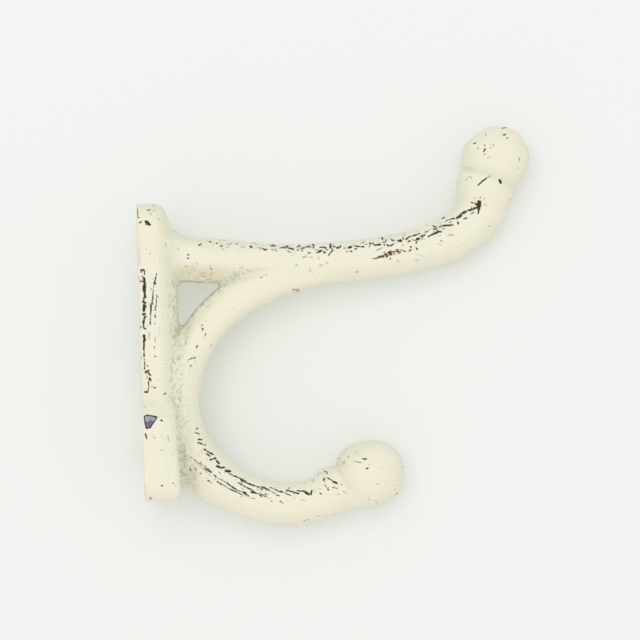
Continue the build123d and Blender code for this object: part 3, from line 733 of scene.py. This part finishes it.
# How closed in a point is: 0 in the open, 1 deep in a corner.
closed = np.zeros(len(p))
for h, w in ((1.2, 0.3), (2.8, 0.4), (5.5, 0.3)):
    q = p + n * h
    closed += w * np.clip(1 - form(q[:, 0], q[:, 1], q[:, 2]) / h, 0, 1)

# Where each arm is, how far along it and how far round.
s_up, c_up, r_up, d_up = upper.at(u, z)
s_lo, c_lo, r_lo, d_lo = lower.at(u, z)
f_up, f_lo = arm_form(upper, x, u, z), arm_form(lower, x, u, z)
f_plate = plate_form(x, u, z)
f_balls = np.minimum.reduce([ball_form(UPPER_BALL, BALL_R, x, u, z), ball_form(LOWER_BALL, BALL_R, x, u, z),
                             ball_form(UPPER_BEAD, UPPER_BEAD_R, x, u, z), ball_form(LOWER_BEAD, LOWER_BEAD_R, x, u, z)])
which = np.where(u < 4.0, 2, np.argmin(np.stack([f_up, f_lo, f_plate, f_balls]), 0))
turn_up, turn_lo = np.arctan2(c_up, x), np.arctan2(c_lo, x)
flow = np.where((which == 0)[:, None], np.stack([s_up * 0.36, turn_up * 5.2, 0 * s_up + 40], 1), p)
flow = np.where((which == 1)[:, None], np.stack([s_lo * 0.30, turn_lo * 5.2, 0 * s_up + 80], 1), flow)
flow = np.where((which == 2)[:, None], np.stack([z * 0.34, u, x], 1), flow)
flow = np.where((which == 3)[:, None], p * 0.8, flow)

# Rubbing away from the camera's side: along the arms' ridges, on the balls' tops,
# the plate's edges and round the countersinks. The camera's side has it faintly,
# because its own marks are placed above.
near_side = ramp(n @ np.array([up[0], -up[1], up[2]]), -0.30, -0.06)
ridge_up = np.exp(-((np.abs(np.degrees(turn_up) - 90) - 42) / 17.0) ** 2) * ramp(s_up, 8, 24)
ridge_up *= 0.84 + 0.16 * ramp(s_up, 40, 66)
ridge_lo = np.exp(-((np.abs(np.degrees(turn_lo) - 90) - 44) / 19.0) ** 2) * ramp(s_lo, 58, 72) * (1 - ramp(s_lo, 108, 116))
rub = np.where(which == 0, ridge_up, np.where(which == 1, ridge_lo, 0.0))
top_line = np.exp(-((np.degrees(turn_up) - 90) / 20.0) ** 2) * 0.42 * ramp(s_up, 16, 30)
rub = np.maximum(rub, np.where(which == 0, top_line, 0))
rub = np.maximum(rub, np.where(which == 1, np.exp(-((np.degrees(turn_lo) - 90) / 18.0) ** 2) * 0.35 * ramp(s_lo, 60, 76), 0))
side_line = np.exp(-((u - 2.0) / 0.8) ** 2) * ramp(z, -14, -8) * (1 - ramp(z, 17, 23)) * (np.abs(x) > 8)
edge_line = np.exp(-((u - 5.0) / 0.7) ** 2) * 0.6 * ramp(z, -8, 2) * (1 - ramp(z, 12, 20)) * (np.abs(x) > 7)
back_rim = np.exp(-((u - 0.5) / 0.6) ** 2) * 0.80
lobe_rim = np.exp(-(np.abs(plate_form(x, u, z)) / 1.0)) * 0.5 * ((np.abs(x) > 10.5) & (u > 6.0)) * (z < -14)
rub = np.maximum(rub, np.where(which == 2, np.maximum.reduce([side_line * 1.08, edge_line, back_rim, lobe_rim * 0.7]), 0))
rub = np.maximum(rub, np.where(which == 3, 0.44 + 0.12 * noise(p, 3.0, 41), 0.0))
front_up = EDGE + DOME * (1 - ((UPPER_HOLE_Z - TAB_CENTRE) / NECK_HALF) ** 2) ** 0.7
ring = np.minimum(np.abs(np.hypot(x, z - UPPER_HOLE_Z) - UPPER_SINK + 0.3) + 3 * (u < 5),
                  np.abs(np.hypot(np.abs(x) - LOWER_HOLE_X, z - LOWER_HOLE_Z) - LOWER_SINK + 0.3) + 3 * (u < 5))
rub = np.maximum(rub, np.exp(-(ring / 0.7) ** 2) * 0.75)
rub = np.maximum(rub, 0.27 + 0.10 * noise(p, 5.0, 42))
own = np.where(which == 3, 0.68, 0.80)
rub = rub * (1 - near_side * own) * np.where((near_side < 0.5) & (which != 2), 0.80, 1.0)

bore = np.maximum(HOLE_R + 0.4 - np.hypot(x, z - UPPER_HOLE_Z), HOLE_R + 0.4 - np.hypot(np.abs(x) - LOWER_HOLE_X, z - LOWER_HOLE_Z))
in_bore = ramp(bore, -0.3, 0.3) * (u > 0.2) * (u < 12)

# The casting's own unevenness, rougher in the seam between plate and lower arm.
rough_seam = ramp(closed, 0.22, 0.55) * (z < 16)
lump = (0.085 * noise(p, 9.0, 11) + 0.055 * noise(p, 4.2, 12) + 0.03 * noise(p, 1.9, 13)
        + 0.014 * noise(p, 0.95, 14) - 0.10)
lump += (1 - ramp(u, 0.1, 0.8)) * (0.05 * noise(p, 2.6, 17) + 0.03 * noise(p, 1.2, 18))
lump += fields["coarse"] * (0.055 * noise(p, 1.25, 19) + 0.04 * noise(p, 0.7, 20))
lump += rough_seam * (0.07 * noise(p, 1.3, 15) + 0.04 * noise(p, 0.7, 16))
deep = np.minimum(fields["bare"], np.minimum(fields["rusty"], fields["chip"]))
lump -= 0.075 * (1 - ramp(deep, -0.10, 0.06))
lump -= 0.05 * (1 - ramp(fields["seam_shade"], -0.2, 0.25))
shaded_joint = joint_form(x, u, z)
fade = (1 - 0.8 * ramp(u, 91.0, 94.5)) * (0.75 + 0.5 * noise(p, 3.5, 51))
lump -= 0.11 * fade * np.exp(-(shaded_joint / 0.38) ** 2)
at_wall = 1 / (1 + np.exp((0.9 - u) / 0.2))
p = p + n * (lump * (0.25 + 0.75 * at_wall))[:, None]
lo, hi = to_form(np.array([cad_lo, cad_hi], float))
low, high = np.minimum(lo, hi), np.maximum(lo, hi)
p = np.clip(p, low + 0.005, high - 0.005)
write(mesh, row_mm(p) * MM)
mesh.polygons.foreach_set("use_smooth", np.ones(len(mesh.polygons), bool))
mesh.name = "hook_skin"


def put(name, values, kind="FLOAT"):
    layer = mesh.attributes.new(name, kind, "POINT")
    key = "value" if kind == "FLOAT" else "vector"
    layer.data.foreach_set(key, np.ascontiguousarray(values, dtype=np.float32).ravel())


put("bare", fields["bare"])
put("thin", np.clip(1 - ramp(fields["thin"], -0.16, 0.10), 0, 1))
put("rusty", fields["rusty"])
put("chip", fields["chip"])
put("seam_shade", np.clip(1 - ramp(fields["seam_shade"], -0.22, 0.30), 0, 1))
put("dense", fields["dense"])
put("coarse", fields["coarse"])
put("green_shade", fields["green_shade"])
put("yellow_shade", fields["yellow_shade"])
put("closed", closed)
# the crease where each ball meets its bead, which carries painted shade
put("shaded_joint", fade * np.exp(-(shaded_joint / 0.45) ** 2))
put("rub", rub)
put("bore", in_bore)
put("back", 1 - ramp(u, 0.15, 0.9))
put("flow", flow, "FLOAT_VECTOR")

skin = bpy.data.objects.new("hook_skin", mesh)
bpy.context.scene.collection.objects.link(skin)
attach(skin, "root")
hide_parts("hook_casting")

# ------------------------------------------------------------------ the paint
paint = bpy.data.materials.new("worn_cream_paint")
paint.use_nodes = True
tree = paint.node_tree
bsdf = tree.nodes["Principled BSDF"]
bsdf.inputs["Specular IOR Level"].default_value = 0.28


def wire(value, socket):
    if isinstance(value, bpy.types.NodeSocket):
        tree.links.new(value, socket)
    else:
        socket.default_value = value


def attr(name, vector=False):
    node = tree.nodes.new("ShaderNodeAttribute")
    node.attribute_type, node.attribute_name = "GEOMETRY", name
    return node.outputs["Vector" if vector else "Fac"]


def math_node(op, a, b=0.0, c=0.0, clamp=False):
    node = tree.nodes.new("ShaderNodeMath")
    node.operation, node.use_clamp = op, clamp
    for value, socket in zip((a, b, c), node.inputs):
        wire(value, socket)
    return node.outputs[0]


def step_node(value, a, b, to_a=0.0, to_b=1.0):
    node = tree.nodes.new("ShaderNodeMapRange")
    node.interpolation_type = "SMOOTHSTEP"
    for v, socket in zip((value, a, b, to_a, to_b), node.inputs):
        wire(v, socket)
    return node.outputs[0]


def noise_node(vector, size_mm, detail=3.0, rough=0.5, in_mm=False):
    """Noise with features about size_mm across, over metres or over a vector already in millimetres."""
    node = tree.nodes.new("ShaderNodeTexNoise")
    wire(vector, node.inputs["Vector"])
    node.inputs["Scale"].default_value = (1.0 if in_mm else 1000.0) / size_mm
    node.inputs["Detail"].default_value = detail
    node.inputs["Roughness"].default_value = rough
    return node.outputs["Fac"]


def blend_colour(fac, a, b):
    node = tree.nodes.new("ShaderNodeMix")
    node.data_type = "RGBA"
    wire(fac, node.inputs[0])
    for v, socket in ((a, node.inputs[6]), (b, node.inputs[7])):
        wire(v if isinstance(v, bpy.types.NodeSocket) else (*v, 1.0), socket)
    return node.outputs[2]


where = tree.nodes.new("ShaderNodeTexCoord").outputs["Object"]
flow_at = attr("flow", True)
grain = noise_node(where, 0.30, 2.0, 0.6)
small = noise_node(where, 0.8, 3.0, 0.55)
wide = noise_node(where, 6.0, 3.0, 0.5)
broad = noise_node(where, 15.0, 2.0, 0.5)
streak = noise_node(flow_at, 0.75, 3.0, 0.62, in_mm=True)
fleck = noise_node(flow_at, 1.9, 2.0, 0.5, in_mm=True)

colour = blend_colour(step_node(wide, 0.35, 0.68), (0.852, 0.806, 0.655), (0.828, 0.800, 0.660))
colour = blend_colour(step_node(broad, 0.40, 0.66, 0.0, 0.55), colour, (0.856, 0.788, 0.628))
colour = blend_colour(step_node(small, 0.50, 0.75, 0.0, 0.30), colour, (0.785, 0.752, 0.600))
# painted shade: darker and greener in closed-in corners and crevices
shut = attr("closed")
corner_shade = math_node("MULTIPLY", step_node(shut, 0.10, 0.62), step_node(small, 0.25, 0.75, 0.55, 1.0))
colour = blend_colour(math_node("MULTIPLY", corner_shade, 0.44), colour, (0.560, 0.590, 0.455))
# painted shade: darker patches deep in the corners
deep_corner_shade = math_node("MULTIPLY", step_node(shut, 0.36, 0.70), step_node(grain, 0.52, 0.66))
colour = blend_colour(math_node("MULTIPLY", deep_corner_shade, 0.28), colour, (0.330, 0.345, 0.265))
# painted shade along the crease where each ball meets its bead
colour = blend_colour(math_node("MULTIPLY", attr("shaded_joint"), step_node(small, 0.2, 0.8, 0.30, 0.62)), colour, (0.560, 0.590, 0.470))
# painted shade: dark grey-green in the seam between plate and lower arm
colour = blend_colour(math_node("MULTIPLY", attr("seam_shade"), step_node(grain, 0.38, 0.60, 0.14, 0.74)), colour, (0.235, 0.240, 0.175))
# painted shade: warm yellow-brown under the short bar and on the tab
colour = blend_colour(math_node("MULTIPLY", attr("yellow_shade"), 0.34), colour, (0.720, 0.635, 0.420))
# painted shade: greenish tints on upward-facing bands, in creases and round the beads
colour = blend_colour(math_node("MULTIPLY", attr("green_shade"), step_node(small, 0.2, 0.8, 0.15, 0.62)), colour, (0.715, 0.745, 0.590))
mottled = math_node("MAXIMUM", attr("coarse"), math_node("MULTIPLY", step_node(shut, 0.25, 0.6), 0.6))
pits = noise_node(where, 1.0, 3.0, 0.62)
colour = blend_colour(math_node("MULTIPLY", mottled, step_node(pits, 0.53, 0.62, 0.0, 0.70)), colour, (0.400, 0.420, 0.330))
colour = blend_colour(math_node("MULTIPLY", mottled, step_node(pits, 0.46, 0.36, 0.0, 0.75)), colour, (0.905, 0.895, 0.800))
# a few brown pinholes
pin = step_node(math_node("ADD", grain, math_node("MULTIPLY", fleck, 0.35)), 0.895, 0.95)
colour = blend_colour(math_node("MULTIPLY", pin, 0.45), colour, (0.36, 0.29, 0.18))
# the back: thinner paint, browner, over a rougher face
at_back = attr("back")
flake = noise_node(where, 2.6, 5.0, 0.66)
blot = math_node("MULTIPLY", at_back, step_node(math_node("ADD", math_node("MULTIPLY", wide, 0.6), math_node("MULTIPLY", small, 0.4)), 0.46, 0.62))
colour = blend_colour(math_node("MULTIPLY", blot, 0.34), colour, (0.600, 0.530, 0.390))
back_bare = math_node("MULTIPLY", at_back, step_node(math_node("ADD", math_node("MULTIPLY", flake, 0.66), math_node("ADD", math_node("MULTIPLY", wide, 0.22), math_node("MULTIPLY", grain, 0.12))), 0.594, 0.606))
# paint worn thin
thin = math_node("MULTIPLY", attr("thin"), step_node(grain, 0.30, 0.60, 0.45, 1.0))
colour = blend_colour(math_node("MULTIPLY", thin, 0.72), colour, (0.300, 0.235, 0.140))

# bare metal: the strokes, and the rubbing that noise breaks up
jag = math_node("MULTIPLY", math_node("SUBTRACT", grain, 0.5), 0.38)
hand = step_node(math_node("ADD", attr("bare"), jag), 0.080, -0.130)
rust_mask = step_node(math_node("ADD", attr("rusty"), jag), 0.12, -0.10)
worn = math_node("ADD", math_node("MULTIPLY", attr("rub"), 0.36),
                 math_node("ADD", math_node("MULTIPLY", streak, 0.78), math_node("MULTIPLY", fleck, 0.30)))
rubbed = step_node(worn, 0.905, 0.935)
halo = math_node("MAXIMUM", step_node(worn, 0.875, 0.920), step_node(math_node("ADD", attr("bare"), jag), 0.20, 0.04))
speck_noise = noise_node(flow_at, 0.42, 2.0, 0.55, in_mm=True)
around = math_node("MULTIPLY", math_node("MULTIPLY", step_node(attr("bare"), 0.90, 0.05), attr("dense")), 0.118)
specks = step_node(math_node("ADD", speck_noise, around), 0.715, 0.765)
bore_mask = math_node("MULTIPLY", attr("bore"), step_node(small, 0.44, 0.56))
metal = math_node("MAXIMUM", math_node("MAXIMUM", hand, rubbed), math_node("MAXIMUM", rust_mask, bore_mask))
metal = math_node("MAXIMUM", metal, math_node("MAXIMUM", math_node("MULTIPLY", specks, 0.85), back_bare))
pale = math_node("MULTIPLY", step_node(math_node("ADD", attr("bare"), math_node("MULTIPLY", jag, 1.6)), 0.42, 0.20), step_node(small, 0.42, 0.60, 0.15, 0.70))
colour = blend_colour(math_node("MULTIPLY", pale, math_node("MULTIPLY_ADD", attr("dense"), 0.5, 0.5)), colour, (0.905, 0.890, 0.790))
colour = blend_colour(math_node("MULTIPLY", halo, 0.20), colour, (0.47, 0.40, 0.27))

dark = blend_colour(step_node(small, 0.42, 0.64), (0.010, 0.009, 0.007), (0.046, 0.038, 0.025))
dark = blend_colour(step_node(grain, 0.55, 0.70, 0.0, 0.45), dark, (0.180, 0.145, 0.095))
red = blend_colour(step_node(small, 0.43, 0.60), (0.085, 0.030, 0.018), (0.420, 0.160, 0.072))
dark = blend_colour(rust_mask, dark, red)
colour = blend_colour(metal, colour, dark)
chip_edge = step_node(attr("chip"), 0.06, -0.08)
chip_in = math_node("MULTIPLY", step_node(math_node("ADD", attr("chip"), jag), -0.25, -0.38), step_node(small, 0.30, 0.60, 0.70, 1.0))
colour = blend_colour(chip_edge, colour, (0.020, 0.020, 0.026))
# the chip's bare iron: purple-grey, partly a painted blue-grey reflection that is paler towards its top
split = tree.nodes.new("ShaderNodeSeparateXYZ")
wire(where, split.inputs[0])
chip_sheen_mix = math_node("MULTIPLY_ADD", math_node("SUBTRACT", small, 0.5), 0.9, step_node(split.outputs["Z"], -0.0167, -0.0153))
chip_iron_and_sheen = blend_colour(step_node(chip_sheen_mix, 0.25, 0.75), (0.165, 0.140, 0.260), (0.370, 0.385, 0.430))
colour = blend_colour(chip_in, colour, chip_iron_and_sheen)
wire(colour, bsdf.inputs["Base Color"])

bared = math_node("MAXIMUM", metal, chip_edge)
wire(step_node(bared, 0.0, 1.0, 0.78, 0.52), bsdf.inputs["Roughness"])

height = math_node("ADD", math_node("MULTIPLY", grain, 0.35), math_node("MULTIPLY", small, 0.65))
height = math_node("MULTIPLY_ADD", math_node("MULTIPLY", shut, small), 1.6, height)
height = math_node("MULTIPLY_ADD", math_node("MULTIPLY", mottled, math_node("SUBTRACT", 1.0, pits)), 1.8, height)
height = math_node("MULTIPLY_ADD", math_node("MULTIPLY", at_back, wide), 2.5, height)
height = math_node("SUBTRACT", height, math_node("MULTIPLY", metal, 0.9))
bump = tree.nodes.new("ShaderNodeBump")
bump.inputs["Strength"].default_value = 0.55
bump.inputs["Distance"].default_value = 0.00009
wire(height, bump.inputs["Height"])
wire(bump.outputs["Normal"], bsdf.inputs["Normal"])
mesh.materials.append(paint)

# ------------------------------------------------------- camera, table, light
cam_data = bpy.data.cameras.new("camera")
cam = bpy.data.objects.new("camera", cam_data)
bpy.context.scene.collection.objects.link(cam)
basis = Matrix((Vector(right), Vector(above), Vector(up))).transposed()
cam.matrix_world = Matrix.Translation(Vector(eye)) @ basis.to_4x4()
cam_data.sensor_width = 36.0
cam_data.lens = FOCUS / 640 * 36.0
cam_data.clip_start, cam_data.clip_end = 0.01, 10.0
bpy.context.scene.camera = cam

# The pale surface touches the plate's widest edge and both balls. It is
# one-sided, so the hook shows from behind it too, and it takes shadows but
# keeps no light off the hook.
fall = -(LOBE_HALF - BALL_R) / (UPPER_BALL[0] - 7.0 - (UPPER_BALL[1] + 33.0) * (UPPER_BALL[0] - LOWER_BALL[0])
                               / (UPPER_BALL[1] - LOWER_BALL[1]))
rise = -fall * (UPPER_BALL[0] - LOWER_BALL[0]) / (UPPER_BALL[1] - LOWER_BALL[1])
base = BALL_R - fall * UPPER_BALL[0] - rise * UPPER_BALL[1]
level = np.array([-1.0, -fall, rise])  # towards the camera's side
level /= np.linalg.norm(level)
print("table", round(fall, 4), round(rise, 4), round(base, 2), "against the view", np.round(level - up, 3))
touch = np.array([(base + 0.12) * MM, 0.0, 0.0])
across = right - right @ level * level
across /= np.linalg.norm(across)
along = np.cross(level, across)
half = 1.6
centre = touch + (middle - touch) - ((middle - touch) @ level) * level
table_data = bpy.data.meshes.new("table_top")
table_data.from_pydata([tuple(centre + across * a * half + along * b * half)
                        for a, b in ((-1, -1), (1, -1), (1, 1), (-1, 1))], [], [(0, 1, 2, 3)])
table = bpy.data.objects.new("table_top", table_data)
bpy.context.scene.collection.objects.link(table)
table.visible_diffuse = table.visible_glossy = table.visible_transmission = table.visible_shadow = False
pale = bpy.data.materials.new("pale_table")
pale.use_nodes = True
nt = pale.node_tree
nt.nodes.clear()
out = nt.nodes.new("ShaderNodeOutputMaterial")
mix = nt.nodes.new("ShaderNodeMixShader")
geo = nt.nodes.new("ShaderNodeNewGeometry")
dif = nt.nodes.new("ShaderNodeBsdfDiffuse")
dif.inputs["Color"].default_value = (0.848, 0.860, 0.855, 1)
clear = nt.nodes.new("ShaderNodeBsdfTransparent")
nt.links.new(geo.outputs["Backfacing"], mix.inputs["Fac"])
nt.links.new(dif.outputs[0], mix.inputs[1])
nt.links.new(clear.outputs[0], mix.inputs[2])
nt.links.new(mix.outputs[0], out.inputs["Surface"])
table_data.materials.append(pale)

world = bpy.data.worlds.new("soft_room")
bpy.context.scene.world = world
world.use_nodes = True
wn = world.node_tree
# Cooler from the top of the picture, warmer and a little brighter from below it.
heading = wn.nodes.new("ShaderNodeTexCoord")
tall = wn.nodes.new("ShaderNodeVectorMath")
tall.operation = "DOT_PRODUCT"
tall.inputs[1].default_value = tuple(above)
wn.links.new(heading.outputs["Generated"], tall.inputs[0])
spread = wn.nodes.new("ShaderNodeMapRange")
spread.inputs["From Min"].default_value, spread.inputs["From Max"].default_value = -1.0, 1.0
wn.links.new(tall.outputs["Value"], spread.inputs["Value"])
tint = wn.nodes.new("ShaderNodeMix")
tint.data_type = "RGBA"
tint.inputs[6].default_value = (1.05, 1.05, 1.02, 1)
tint.inputs[7].default_value = (0.925, 1.0, 0.985, 1)
wn.links.new(spread.outputs[0], tint.inputs[0])
wn.links.new(tint.outputs[2], wn.nodes["Background"].inputs["Color"])
wn.nodes["Background"].inputs["Strength"].default_value = 0.845

sun_data = bpy.data.lights.new("softbox", "AREA")
sun_data.shape, sun_data.size, sun_data.size_y = "RECTANGLE", 1.0, 0.9
sun_data.energy = 5.1
sun_data.color = (1.0, 0.87, 0.87)
softbox = bpy.data.objects.new("softbox", sun_data)
bpy.context.scene.collection.objects.link(softbox)
place = Vector(middle + level * 1.35 + above * 0.30 - right * 0.10)
softbox.location = place
softbox.rotation_mode = "QUATERNION"
softbox.rotation_quaternion = (Vector(middle) - place).to_track_quat("-Z", "Y")

bpy.context.scene.view_settings.view_transform = "Standard"
bpy.context.scene.view_settings.look = "None"
